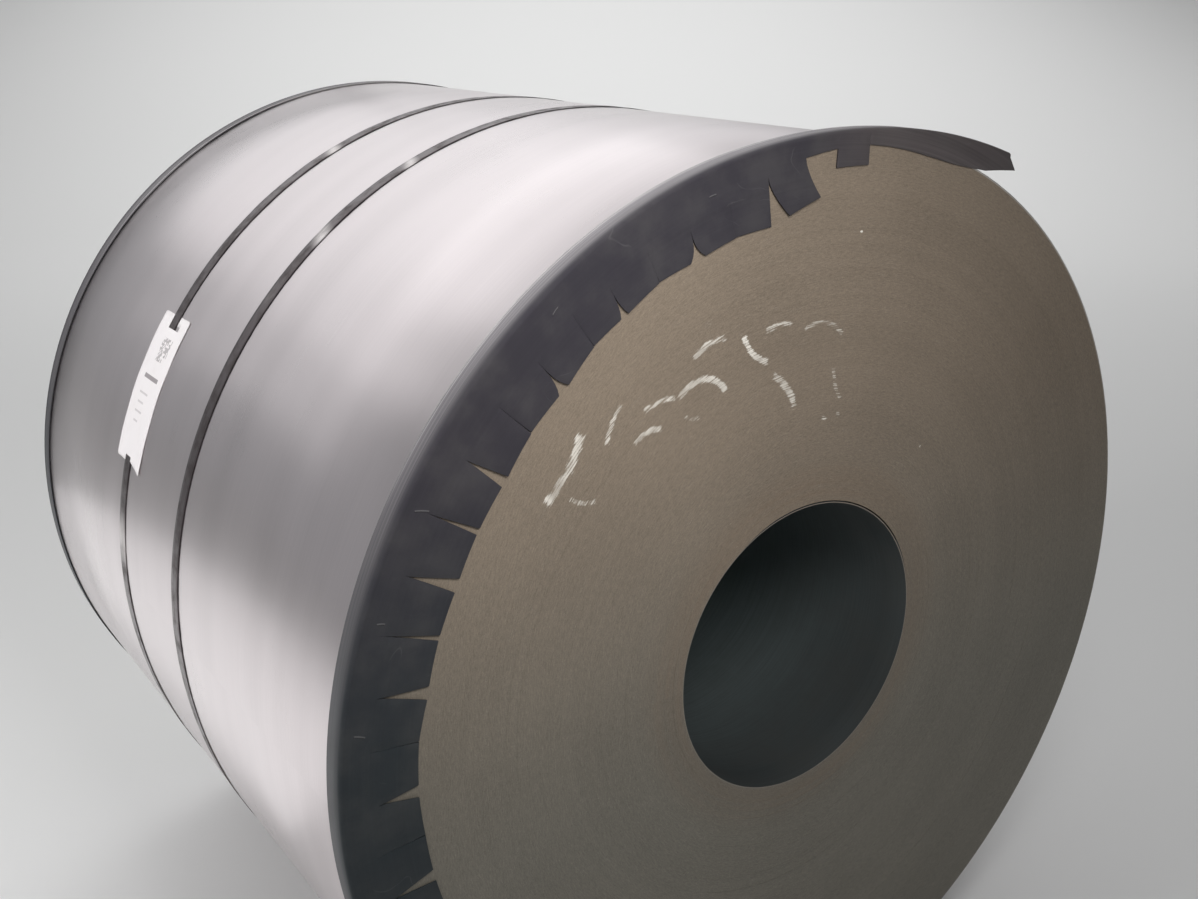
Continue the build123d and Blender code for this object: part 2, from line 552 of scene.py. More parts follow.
def turnTree():
    # turns an outline of points round the bore, with the loose inner lap and the outer lap's end
    tree, given = makeTree("turnCoil", "Geometry", {
        "Geometry": "start", "Int": "facetsRound", "Material": "paint",
        "Float": "lapEndAngle lapEndEase lapThickness looseFrom looseTo looseGap"}, "Geometry")
    rows = step(tree, "AttributeDomainSize", {"Geometry": given.start})
    facets = given.facetsRound
    grid = step(tree, "MeshGrid", {
        "Size X": 1.0, "Size Y": 1.0, "Vertices X": facets + 2, "Vertices Y": rows})
    across, down, _ = partsOf(step(tree, "InputPosition", {}))
    column = ((across + 0.5) * (facets + 1)).maths("ROUND")
    row = ((down + 0.5) * (rows - 1)).maths("ROUND")

    def sample(value, kind):
        return step(tree, "SampleIndex", {"Geometry": given.start, "Value": value, "Index": row},
                    data_type=kind, domain="POINT")

    radius, along, _ = partsOf(sample(step(tree, "InputPosition", {}), "FLOAT_VECTOR"))
    loose = sample(reading(tree, "loose"), "FLOAT")
    outer = sample(reading(tree, "outer"), "FLOAT")

    angle = column.maths("MINIMUM", facets) / facets * (2 * math.pi) + given.lapEndAngle
    easeStart = facets * (given.lapEndEase / (-2 * math.pi) + 1)
    ease = ramp(column, easeStart, facets, smooth=True) * (1 - column.maths("GREATER_THAN", facets + 0.5))
    drop = ease * outer * given.lapThickness
    turned = (angle / (2 * math.pi)).maths("FRACT") * (2 * math.pi)
    share = ramp(turned, given.looseFrom, given.looseTo)
    gap = (share * math.pi).maths("SINE") * given.looseGap * loose
    final = radius - drop + gap
    spot = vectorOf(tree, final * angle.maths("COSINE"), along, final * angle.maths("SINE"))
    turnedMesh = step(tree, "SetPosition", {"Geometry": grid, "Position": spot})
    joined = step(tree, "MergeByDistance", {"Geometry": turnedMesh, "Distance": weld})
    return giveMesh(tree, joined, given.paint)


sheetFace = {
    "colour": (0.612, 0.567, 0.576, 1),
    "roughness": 0.30,
    "rollingLines": 900.0,  # per metre of width
    "rollingDepth": 0.008,  # mm
    "bandDepth": 0.18,  # mm, slow ripple across the width
    "dust": (0.42, 0.40, 0.37, 1),
}


def paintSheetFace(values):
    # the rolled face of the outer lap
    material, tree, shader = newMaterial("sheetFace", 1.0)
    place, _, angle, along = onObject(tree)
    run = angle * coilRadius
    lines = linesOn(along, run, perMetre=values["rollingLines"], length=0.35)
    bands = linesOn(along, run, perMetre=14.0, length=1.4, rough=0.2, seed=4.0)
    blotches = patchesOn(place, size=0.35, cover=0.5, softness=0.3, seed=2.0)
    dust = patchesOn(place, size=0.05, cover=0.33, softness=0.12, seed=7.0)
    tone = (lines - 0.5) * 0.10 + (bands - 0.5) * 0.07 + (blotches - 0.5) * 0.05 + 1
    clean = tinted(values["colour"], tone)
    rougher = (lines - 0.5) * 0.05 + (blotches - 0.5) * 0.06 + dust * 0.015
    giveFinish(shader, values, blended(dust * 0.02, clean, values["dust"]), rougher,
               lines * values["rollingDepth"] + bands * values["bandDepth"])
    return material


sheetEdges = {
    "colour": (0.190, 0.176, 0.146, 1),
    "brown": (0.240, 0.192, 0.145, 1),  # painted light: the upper part lighter and warmer, as lit from above
    "pale": (0.31, 0.27, 0.22, 1),
    # rim: bare sheared edges, made pale as a painted highlight
    "rim": (0.62, 0.59, 0.55, 1),
    "rust": (0.20, 0.115, 0.06, 1),
    "roughness": 0.62,
    "chalk": (0.78, 0.74, 0.67, 1),
    "dragLines": 420.0,  # lines per metre that break the chalk up
    # each stroke: where it starts and ends, how far it bows out, its width, all in mm, and its strength
    "strokes": [
        ((-446, 466), (-506, 374), 8, 19, 1.0), ((-466, 374), (-420, 360), -5, 11, 0.7),
        ((-402, 438), (-376, 494), 7, 12, 0.85), ((-356, 430), (-306, 446), 6, 12, 0.8),
        ((-338, 476), (-282, 488), 4, 11, 0.9), ((-276, 482), (-186, 478), 26, 15, 0.95),
        ((-250, 538), (-190, 562), 8, 12, 0.8), ((-262, 454), (-236, 450), -3, 9, 0.6),
        ((-156, 562), (-104, 512), -10, 14, 0.95), ((-112, 558), (-58, 562), 7, 11, 0.75),
        ((-96, 490), (-44, 428), 8, 17, 0.9), ((-34, 550), (50, 530), 16, 11, 0.6),
        ((36, 478), (56, 426), -6, 10, 0.5), ((14, 402), (26, 396), 1, 10, 0.7),
        ((46, 404), (54, 398), 1, 9, 0.5), ((75, 689), (81, 687), 1, 5, 1.1),
        ((253, 305), (258, 303), 1, 5, 1.0),
    ],
}


def strokeArc(start, end, bow):
    # the circle through two points that bows out by so much between them
    chord = Vector(end) - Vector(start)
    middle = (Vector(start) + Vector(end)) / 2
    aside = Vector((-chord.y, chord.x)).normalized() * (1 if bow > 0 else -1)
    radius = (chord.length ** 2 / 4 + bow ** 2) / (2 * abs(bow))
    centre = middle + aside * (abs(bow) - radius)
    top = middle + aside * abs(bow) - centre
    return centre, radius, math.atan2(top.y, top.x), 2 * math.atan(2 * abs(bow) / chord.length)


def strokeMask(x, z, start, end, bow, width, strength):
    centre, bend, middle, sweep = strokeArc(start, end, bow)
    return useGroup(x.tree, stroke, x=x, z=z, centreX=centre.x * mm, centreZ=centre.y * mm,
                    radius=bend * mm, middle=middle, halfSweep=sweep, width=width * mm, strength=strength)


def chalkMask(values, place, radius, run):
    x, y, z = partsOf(place)
    wobble = noiseOn(place, 55.0, 3.0) - 0.5
    x = x + wobble * 0.010
    z = z + wobble * -0.008
    whole = strongest([strokeMask(x, z, *line) for line in values["strokes"]])
    drag = linesOn(radius, run, perMetre=values["dragLines"], length=0.05, rough=0.55, seed=9.0)
    grain = noiseOn(place, 900.0, 2.0)
    broken = whole * 1.2 - ramp(drag, 0.25, 0.75) - (grain - 0.5)
    pressed = ramp(noiseOn(place, 26.0, 2.0), 0.35, 0.65, 0.45, 0.95)
    return ramp(broken, -0.05, 0.8, smooth=True) * pressed * y.maths("LESS_THAN", 0.0)


def paintSheetEdges(values):
    # the edges of the laps, which make up both ends of the coil
    material, tree, shader = newMaterial("sheetEdges")
    place, radius, angle, _ = onObject(tree)
    height = partsOf(place)[2]
    run = angle * radius
    fine = linesOn(radius, run, perMetre=480.0, length=0.011, rough=0.8)
    groups = linesOn(radius, angle, perMetre=95.0, length=2.2, seed=3.0)
    broad = linesOn(radius, angle, perMetre=9.0, length=2.5, rough=0.4, seed=6.0)
    patches = patchesOn(place, size=0.28, cover=0.5, softness=0.3, seed=1.0)
    specks = patchesOn(place, size=0.006, cover=0.3, softness=0.05, seed=5.0)
    grain = noiseOn(place, 420.0, 3.0, 0.7)
    tone = ((fine - 0.5) * 0.62 + (groups - 0.5) * 0.10 + (broad - 0.5) * 0.08 + (patches - 0.5) * 0.14
            + (grain - 0.5) * 0.7 + 1)
    # painted light: the end turns lighter and browner towards the top, as the light falls from above
    upperLight = ramp(height, -0.25, 0.50, smooth=True)
    clean = tinted(blended(upperLight, values["colour"], values["brown"]), tone)
    nearBore = ramp(radius, boreRadius + 0.015, boreRadius + 0.10, 1, 0, smooth=True)
    # bare sheared edges with a painted highlight: along the outer rim, stronger towards the top, and fainter
    # at the bore's edge
    rim = ramp(radius, coilRadius - 0.0036, coilRadius - 0.0024) * ramp(height, 0.05, 0.55, 0.25, 1)
    inner = ramp(radius, boreRadius + 0.0016, boreRadius + 0.0022, 1, 0)
    chalk = chalkMask(values, place, radius, run)
    colour = layered(values, clean, (specks * 0.35, "pale"), (nearBore * groups * 0.30, "rust"),
                     (rim * 0.85, "rim"), (inner * 0.25, "rim"), (chalk, "chalk"))
    feed(tree, shader.inputs["Metallic"], (1 - chalk) * ((rim + inner) * 0.4 + 0.12))
    giveFinish(shader, values, colour, (fine - 0.5) * 0.12 + chalk * 0.3,
               fine * 0.22 + groups * 0.12 + chalk * 0.15, strength=0.8)
    return material


boreWall = {
    # painted shade: near black, as the shade inside the bore
    "colour": (0.078, 0.088, 0.089, 1),
    "deep": (0.24, 0.285, 0.285, 1),  # lighter, bluer grey away from the ends
    "dust": (0.13, 0.125, 0.115, 1),
    "roughness": 0.5,
}


def paintBoreWall(values):
    # the inner face of the first lap, dull, with patches of film near the ends; its near black colour is
    # painted shade
    material, tree, shader = newMaterial("boreWall", 0.6)
    place, _, angle, along = onObject(tree)
    lines = linesOn(along, angle * boreRadius, perMetre=300.0, length=0.3)
    film = patchesOn(place, size=0.12, cover=0.45, softness=0.25, seed=8.0)
    deep = ramp(along.maths("ABSOLUTE"), 0.28, 0.70, 1, 0)
    clean = tinted(blended(deep, values["colour"], values["deep"]), (lines - 0.5) * 0.3 + 1)
    colour = blended(film * 0.4 * (1 - deep), clean, values["dust"])
    giveFinish(shader, values, colour, film * 0.2 + (lines - 0.5) * 0.1, lines, 0.02 * mm)
    return material


def dressCoil(mesh, finishes):
    # smooth round the lap and the bore, flat on the steps of the ends, each with its own finish
    mesh.materials.clear()
    for finish in finishes:
        mesh.materials.append(finish)
    boreDepth, boreLip, rimLip, sliver = 5 * mm, 1.5 * mm, 0.75 * mm, 4e-6
    for face in mesh.polygons:
        x, y, z = face.center
        radius = math.hypot(x, z)
        face.use_smooth = abs(face.normal.y) < 0.2 and face.area > sliver
        if radius < boreRadius + boreDepth and abs(y) < halfWidth - boreLip:
            face.material_index = 2
        elif radius < coilRadius - rimLip:
            face.material_index = 1
        else:
            face.material_index = 0


def makeCoil(values, finishes):
    piece = runTree(turnTree(), "woundCoil", coilProfile(values), {
        "facetsRound": values["facetsRound"], "paint": finishes[0],
        **inMetres(values, "lapThickness", "looseGap"),
        **inRadians(values, "lapEndAngle", "lapEndEase", "looseFrom", "looseTo")})
    dressCoil(piece.data, finishes)
    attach(piece, "root")
    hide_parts("steel_coil")


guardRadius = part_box("edge_guard_rear")[1][0]
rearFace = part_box("edge_guard_rear")[1][1]
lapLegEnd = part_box("edge_guard_rear")[0][1]

guard = {  # in mm and degrees
    "wall": 2.7,
    "inset": 1.2,  # how far the wall lies inside the solid's own face
    "room": 1.4,  # a finger may stand this far proud of the rest
    "cornerRounding": 6.5,
    "edgeRounding": 0.6,
    "pitch": 11.65,
    "tailBend": 1120.0,
    "tailFrom": 102.0,
    "endAngle": 287.0,
    # the cuts that show: angle, depth of the root, mouth, and depth of the tips
    "cuts": [
        (104.3, 42, 1.2, 108.5), (110.0, 54, 27, 111), (115.7, 42, 1.2, 106.5), (121.2, 52, 14, 113),
        (126.1, 40, 1.2, 113), (131.8, 52, 20, 123), (137.6, 42, 1.2, 121), (143.5, 56, 16, 126),
        (149.5, 42, 9, 124), (155.7, 44, 20, 125), (161.7, 36, 8, 122), (168.0, 46, 20, 122),
        (173.6, 40, 1.2, 116), (179.7, 56, 20, 116.5),
    ],
    "notchDepth": 48, "notchMouth": 20, "seamDepth": 42, "seamMouth": 1.2, "tipDepth": 119,
    "notchFrom": 5,  # a cut with a wider mouth counts as a notch
    "tipStray": 2.5,
    "mouthStray": 3.0,
    # the tail's free edge: length along the tail and depth
    "tailEdge": [
        (547, 42), (500, 45), (466, 45.5), (430, 43), (390, 39), (348, 33.5), (300, 28), (257, 24.5),
    ],
    # its end is cut aslant: length and depth at the top, how far past it the lower corner is, and its depth
    "tailEnd": (600, 7.5, -22, 24),
    # each side of the stub: length along the tail, depth of its root, half of the gap beside it, and its tip
    "stub": [(257, 24, 0, 54), (189, 25, -2, 53)],
    "stubLift": 0.4,
    # each side of the turned finger: depth and angle of its root, half of the gap beside it, and its tip
    "turnedFinger": [(27.6, 93.6, -26, 91), (43.2, 98.9, 33, 106)],
    "turnedProud": 2.6,
    "turnedCurve": 1.5,
    "nextFinger": (2, 114),  # half of the gap beside the turned finger, and the tip
    # depth of the root, mouth and depth of the tips where the tail starts, and at the lower end
    "firstCut": (50, 0, 111),
    "lastCut": (50, 0, 119),
    "columns": 6,
    "cutCurve": 1.15,  # above 1, a cut stays narrow at its root
    # the upper fingers lie close, and each one above a notch stands proud
    "closeUpTo": 138.0,
    "closeCurve": 4.5,
    "proudUpTo": 144.0,
    "seed": 5,
}


def onTail(radius, angle, values):
    # the same place as an angle and a depth on the tail's own bend
    bend = values["tailBend"]
    away = guardRadius / mm - bend
    start = math.radians(values["tailFrom"])
    x = radius * math.cos(math.radians(angle)) - away * math.cos(start)
    z = radius * math.sin(math.radians(angle)) - away * math.sin(start)
    return math.degrees(math.atan2(z, x)), bend - math.hypot(x, z)


def panelBetween(before, after, bendRadius, **more):
    start, end = [(angle, root, mouth / 2, tip) for angle, root, mouth, tip in (before, after)]
    return dict(bendRadius=bendRadius, start=start, end=end, **more)


def evenCut(values, dice, angle, kind, stray=0.0):
    # a seam or a notch of the even pitch
    tip = values["tipDepth"] + dice.uniform(-values["tipStray"], values["tipStray"])
    mouth = values[kind + "Mouth"] + (dice.uniform(-stray, stray) if stray else 0)
    return angle, values[kind + "Depth"], mouth, tip


def frontPanels(values):
    # one panel between two cuts: for each side its angle, root, half mouth and tip
    bend = values["tailBend"]
    ring = guardRadius / mm
    dice = random.Random(values["seed"])
    panels = []

    def onBend(start, end, **more):
        panels.append(dict(bendRadius=bend, start=start, end=end, **more))

    def tailCut(length, depth, halfMouth=0, tip=None):
        angle = values["tailFrom"] - math.degrees(length / bend)
        return angle, depth, halfMouth, depth if tip is None else tip

    edge = values["tailEdge"]
    onBend(tailCut(*values["tailEnd"]), tailCut(*edge[0]), curve=1.0)
    for before, after in zip(edge, edge[1:]):
        onBend(tailCut(*before), tailCut(*after))
    stubStart, stubEnd = values["stub"]
    onBend(tailCut(*stubStart), tailCut(*stubEnd), lift=values["stubLift"])
    root, slit = [onTail(ring - finger[0], finger[1], values) for finger in values["turnedFinger"]]
    rootSide, slitSide = [finger[2:] for finger in values["turnedFinger"]]
    onBend(tailCut(*stubEnd[:2]), root + (0, root[1]))
    onBend(root + rootSide, slit + slitSide, lift=values["turnedProud"], curve=values["turnedCurve"])
    first = (values["tailFrom"],) + values["firstCut"]
    onBend(slit + values["nextFinger"], first)

    cuts = [first] + values["cuts"]
    half = values["pitch"] / 2
    kind, nextKind = "seam", "notch"
    while cuts[-1][0] + half < values["endAngle"] - half / 2:
        stray = values["mouthStray"] if kind == "notch" else 0.0
        cuts.append(evenCut(values, dice, cuts[-1][0] + half, kind, stray))
        kind, nextKind = nextKind, kind
    cuts.append((values["endAngle"], *values["lastCut"]))
    for before, after in zip(cuts, cuts[1:]):
        lift = dice.uniform(0, values["room"] * 0.5)
        if after[0] <= values["proudUpTo"]:
            lift = values["room"] if after[2] > values["notchFrom"] else 0.0
        curve = values["closeCurve"] if after[0] <= values["closeUpTo"] else values["cutCurve"]
        panels.append(panelBetween(before, after, ring, lift=lift, curve=curve))
    return panels


def rearPanels(values):
    ring = guardRadius / mm
    dice = random.Random(values["seed"] + 1)
    count = 2 * round(360 / values["pitch"])
    cuts = [evenCut(values, dice, number * 360 / count, ("notch", "seam")[number % 2])
            for number in range(count)]
    cuts.append((360,) + cuts[0][1:])
    return [panelBetween(before, after, ring, lift=dice.uniform(0, values["room"]))
            for before, after in zip(cuts, cuts[1:])]


def panelMesh(name, panels, values):
    # one loose point for each panel, with what the tree needs to lay it
    keys = ("Angle", "Root", "Gap", "Tip")
    readings = {side + key: [] for side in ("start", "end") for key in keys}
    readings.update(bendRadius=[], lift=[], curve=[])
    for panel in panels:
        for side in ("start", "end"):
            for key, number in zip(keys, panel[side]):
                readings[side + key].append(math.radians(number) if key == "Angle" else number * mm)
        readings["bendRadius"].append((panel["bendRadius"] - values["inset"]) * mm)
        readings["lift"].append(panel.get("lift", 0.0) * mm)
        readings["curve"].append(panel.get("curve", values["cutCurve"]))
    return pointMesh(name, [(0, 0, 0)] * len(panels), readings)


def guardTree():
    # lays one grid for each panel: lap leg, rounded corner, web, and finger
    tree, given = makeTree("layGuard", "Geometry", {
        "Geometry": "start", "Int": "columns", "Bool": "turnOver", "Material": "paint",
        "Float": "outerRadius tailFrom cornerRounding lapLeg endFace side"}, "Geometry")
    cornerRow, webRow, rootRow, tipRow = 1, 6, 9, 17
    grid = step(tree, "MeshGrid", {
        "Size X": 1.0, "Size Y": 1.0, "Vertices X": given.columns, "Vertices Y": tipRow + 1})
    gridAcross, gridDown, _ = partsOf(step(tree, "InputPosition", {}))
    marked = store(tree, grid, "across", gridAcross + 0.5)
    marked = store(tree, marked, "row", ((gridDown + 0.5) * tipRow).maths("ROUND"))
    copies = step(tree, "InstanceOnPoints", {"Points": given.start, "Instance": marked})
    real = step(tree, "RealizeInstances", {"Geometry": copies})

    across = reading(tree, "across")
    row = reading(tree, "row")
    bend = reading(tree, "bendRadius")
    rounding = given.cornerRounding
    arc = ramp(row, cornerRow, webRow, 0, math.pi / 2)
    webShare = ramp(row, webRow, rootRow)
    fingerShare = ramp(row, rootRow, tipRow)
    lapShare = ramp(row, 0, cornerRow, 1, 0)
    cornerDepth = rounding * (1 - arc.maths("COSINE"))

    def side(name, way):
        root = reading(tree, name + "Root")
        depth = (cornerDepth + webShare * (root - rounding)
                 + fingerShare * (reading(tree, name + "Tip") - root))
        gap = reading(tree, name + "Gap") * fingerShare ** reading(tree, "curve")
        return depth, reading(tree, name + "Angle") + gap * way / (bend - depth)

    startDepth, startAngle = side("start", 1)
    endDepth, endAngle = side("end", -1)
    depth = mixed(across, startDepth, endDepth)
    angle = mixed(across, startAngle, endAngle)
    away = given.outerRadius - bend
    reach = bend - depth
    x = away * given.tailFrom.maths("COSINE") + reach * angle.maths("COSINE")
    z = away * given.tailFrom.maths("SINE") + reach * angle.maths("SINE")
    back = rounding * (1 - arc.maths("SINE")) + lapShare * (given.lapLeg - rounding)
    lift = reading(tree, "lift") * fingerShare * fingerShare
    y = given.side * (given.endFace + lift - back)
    laid = step(tree, "SetPosition", {"Geometry": real, "Position": vectorOf(tree, x, y, z)})
    joined = step(tree, "MergeByDistance", {"Geometry": laid, "Distance": weld * 8})
    over = step(tree, "FlipFaces", {"Mesh": joined, "Selection": given.turnOver})
    return giveMesh(tree, step(tree, "SetShadeSmooth", {"Geometry": over}), given.paint)


def thicken(piece, wall, rounding, segments=2):
    solidify = piece.modifiers.new("wall", "SOLIDIFY")
    solidify.thickness = wall
    solidify.offset = -1
    solidify.use_even_offset = True
    bevel = piece.modifiers.new("rounding", "BEVEL")
    bevel.width = rounding
    bevel.segments = segments
    bevel.limit_method = "ANGLE"
    bevel.angle_limit = math.radians(40)
    settle(piece)


def makeGuard(name, panels, side, values, tree, paint, node):
    flat = panelMesh(name + "Panels", panels, values)
    piece = runTree(tree, name, flat, {
        "outerRadius": guardRadius - values["inset"] * mm, **inRadians(values, "tailFrom"),
        **inMetres(values, "cornerRounding"), "lapLeg": rearFace - lapLegEnd,
        "endFace": rearFace - values["room"] * mm, "side": float(side), "columns": values["columns"],
        "turnOver": side > 0, "paint": paint})
    thicken(piece, values["wall"] * mm, values["edgeRounding"] * mm)
    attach(piece, "root")
    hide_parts(node)


guardPlastic = {
    "colour": (0.026, 0.032, 0.036, 1),
    # painted light: the upper part lighter, as lit from above
    "upper": (0.037, 0.034, 0.041, 1),
    "tail": (0.078, 0.067, 0.068, 1),  # a lighter, warmer grey on the tail
    "dust": (0.10, 0.095, 0.092, 1),
    # lap leg: scuffed, and lightened as a painted sheen
    "lapLeg": (0.235, 0.220, 0.230, 1),
    # painted highlight along the lap leg's free edge
    "lapLegEdge": (0.50, 0.48, 0.48, 1),
    "scuff": (0.20, 0.195, 0.195, 1),
    "roughness": 0.55,
    "shine": 0.25,
    # burrs where slits were cut, painted pale as scuffs and as the glint on their raised edges: from and to
    # in mm on the end, and width
    "burrs": [
        ((-811, 121), (-795, 114), 3.0), ((-769, 271), (-757, 268), 3.0), ((-707, 413), (-686, 408), 3.0),
        ((-493, 638), (-484, 648), 2.6), ((-232, 768), (-219, 771), 2.6),
    ],
}


def scratchMask(place, size, thinness, cover):
    # thin stray scratches, as threads where a slow noise crosses its middle value
    slow = noiseOn(place, 1 / size, 1.5, distortion=0.6)
    thread = 1 - (slow - 0.5).maths("ABSOLUTE") * thinness
    spread = noiseOn(place, 1 / size * 1.7, 2.0)
    return thread.maths("MAXIMUM", 0.0) * ramp(spread, 1 - cover - 0.06, 1 - cover + 0.06)


def paintGuard(values):
    # recycled black plastic, scuffed along the lap leg and painted lighter there as its sheen, more towards
    # the top, and dusty on the end leg
    material, tree, shader = newMaterial("guardPlastic")
    shader.inputs["Specular IOR Level"].default_value = values["shine"]
    place, radius, angle, along = onObject(tree)
    x, y, z = partsOf(place)
    run = angle * guardRadius
    drawn = linesOn(along, run, perMetre=420.0, length=0.5, rough=0.65, seed=2.0)
    extruded = linesOn(radius, run, perMetre=240.0, length=0.6, seed=5.0)
    across = along.maths("ABSOLUTE")
    onLap = ramp(across, lapLegEnd + 0.014, rearFace - 0.003, 1, 0, smooth=True)
    towardsTop = ramp(z, 0.15, 0.82, 0.30, 1.2, smooth=True)
    dust = patchesOn(place, size=0.07, cover=0.46, softness=0.22, seed=4.0)
    scratches = scratchMask(moved(place, 6.0, 10.2, 1.8), size=0.09, thinness=170.0, cover=0.36)
    onFront = y.maths("LESS_THAN", 0.0)
    burrs = strongest([strokeMask(x, z, start, end, 0.6, width, 1.0)
                       for start, end, width in values["burrs"]]) * onFront
    tailPart = ramp(x, -0.05, 0.12) * ramp(z, 0.3, 0.6) * onFront
    # painted light: the guard lighter towards the top, as lit from above
    plain = blended(ramp(z, 0.0, 0.5, smooth=True), values["colour"], values["upper"])
    clean = tinted(blended(tailPart, plain, values["tail"]), (extruded - 0.5) * (tailPart * 0.4 + 0.18) + 1)
    # the lap leg's scuffs together with a painted sheen, stronger towards the top
    legScuffAndSheen = onLap * towardsTop * ramp(drawn, 0.2, 0.8, 0.35, 1.0)
    # painted highlight along the lap leg's free edge, in its upper part
    freeEdge = ramp(across, lapLegEnd + 0.003, lapLegEnd + 0.0065, 1, 0) * ramp(z, 0.40, 0.70)
    edgeHighlight = freeEdge * ramp(drawn, 0.3, 0.6)
    # scratches, and burrs painted pale as scuffs and as the glint on their edges
    marked = strongest([scratches * 0.16, burrs * 0.38])
    colour = layered(values, clean, (dust * 0.30, "dust"), (legScuffAndSheen, "lapLeg"), (edgeHighlight, "lapLegEdge"),
                     (marked, "scuff"))
    giveFinish(shader, values, colour, dust * 0.12 - onLap * 0.06 + (drawn - 0.5) * 0.1,
               drawn * onLap * 0.07 + extruded * 0.04 + scratches * 0.03 + burrs * 0.9)
    return material


strap = {  # in mm and degrees
    "width": 32.0,
    "wall": 0.9,
    "clear": 0.12,
    "facets": 420,
    "lapAngle": -48.0,
    "lapLength": 85.0,
    "ripple": 0.55,  # small kinks that catch the light
    "rippleLength": 75.0,
    "curl": 0.10,  # how far the edges stand off
    "flatFrom": 138.0,  # from here to flatTo the band lies flat, under the tag
    "flatTo": 170.0,
    "flatEase": 0.07,  # radians
    "edgeRounding": 0.2,
    "seeds": {"strap_front": 3.0, "strap_rear": 8.0},
}

strapSteel = {
    "colour": (0.105, 0.088, 0.092, 1),
    "worn": (0.38, 0.35, 0.34, 1),
    "dirt": (0.055, 0.043, 0.038, 1),
    "roughness": 0.30,
    # painted glints, as where a kink catches the light: angle round the coil, Y of the band and length of
    # the glint
    "paintedGlints": [(114.8, -100, 22), (128.7, -100, 30), (115.5, 191, 24), (174.5, 191, 70)],
    # colour of the painted glints
    "glint": (0.80, 0.76, 0.75, 1),
}


def strapTree():
    # lays a band round the coil, from its under end over the whole turn to its upper end
    tree, given = makeTree("layStrap", "Geometry", {
        "Geometry": "start", "Int": "facets", "Material": "paint",
        "Float": "innerRadius middle width wall lapAngle lapTurn ripple rippleLength curl "
                 "flatFrom flatTo flatEase seed"}, "Geometry")
    grid = step(tree, "MeshGrid", {
        "Size X": 1.0, "Size Y": 1.0, "Vertices X": given.facets, "Vertices Y": 5})
    gridAlong, gridAcross, _ = partsOf(step(tree, "InputPosition", {}))
    turn = (gridAlong + 0.5) * (given.lapTurn + 2 * math.pi)
    angle = turn + given.lapAngle
    onTop = ramp(turn, given.lapTurn * -0.35 + 2 * math.pi, 2 * math.pi, smooth=True)
    cosine, sine = angle.maths("COSINE"), angle.maths("SINE")
    wave = noiseOn(vectorOf(tree, cosine, sine, given.seed),
                   given.innerRadius / given.rippleLength, 1.0)
    flatFrom, flatTo, ease = given.flatFrom, given.flatTo, given.flatEase
    outside = (ramp(angle, flatFrom - ease, flatFrom, 1, 0, smooth=True)
               + ramp(angle, flatTo, flatTo + ease, smooth=True))
    ripple = ramp(wave, 0.42, 0.75) * given.ripple * (1 - onTop) * outside
    edge = gridAcross * 2
    curl = edge * edge * edge * edge * given.curl
    radius = given.innerRadius + given.wall + ripple + curl + onTop * (given.wall * 1.15)
    spot = vectorOf(tree, radius * cosine, given.middle + gridAcross * given.width, radius * sine)
    laid = step(tree, "SetPosition", {"Geometry": grid, "Position": spot})
    over = step(tree, "FlipFaces", {"Mesh": laid})
    return giveMesh(tree, step(tree, "SetShadeSmooth", {"Geometry": over}), given.paint)


def makeStrap(node, values, tree, paint):
    low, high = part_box(node)
    flat = pointMesh(node + "Start", [(0, 0, 0)], {})
    piece = runTree(tree, "band." + node, flat, {
        "innerRadius": coilRadius + values["clear"] * mm, "middle": (low[1] + high[1]) / 2,
        "lapTurn": values["lapLength"] * mm / coilRadius, "facets": values["facets"],
        "flatEase": values["flatEase"], "seed": values["seeds"][node], "paint": paint,
        **inRadians(values, "lapAngle", "flatFrom", "flatTo"),
        **inMetres(values, "width", "wall", "ripple", "rippleLength", "curl")})
    thicken(piece, values["wall"] * mm, values["edgeRounding"] * mm, 1)
    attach(piece, "root")
    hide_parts(node)


def paintStrap(values):
    # blackened steel band, worn in patches, with painted glints as where it is kinked
    material, tree, shader = newMaterial("strapSteel", 0.85)
    place, _, angle, along = onObject(tree)
    run = angle * coilRadius
    lines = linesOn(along, run, perMetre=700.0, length=0.12)
    rubbed = patchesOn(place, size=0.10, cover=0.33, softness=0.10, seed=12.0)
    dirt = patchesOn(place, size=0.03, cover=0.45, softness=0.15, seed=15.0)
    clean = tinted(values["colour"], (lines - 0.5) * 0.5 + 1)
    paintedGlints = []
    for glintAngle, glintY, glintLength in values["paintedGlints"]:
        aside = along - glintY * mm
        onBand = aside.maths("ABSOLUTE").maths("LESS_THAN", 0.03)
        away = (run - math.radians(glintAngle) * coilRadius + aside * 0.35).maths("ABSOLUTE")
        paintedGlints.append(ramp(away, 0.0, glintLength * mm, 1, 0, smooth=True) * onBand)
    # painted highlight: the glints are colour laid on the band
    glint = strongest(paintedGlints)
    colour = layered(values, clean, (dirt * 0.5, "dirt"), (rubbed * 0.35, "worn"),
                     (glint * ramp(lines, 0.2, 0.7, 0.5, 0.9), "glint"))
    giveFinish(shader, values, colour, dirt * 0.25 - rubbed * 0.05 + glint * 0.1,
               lines * 0.03 + dirt * 0.05)
    return material


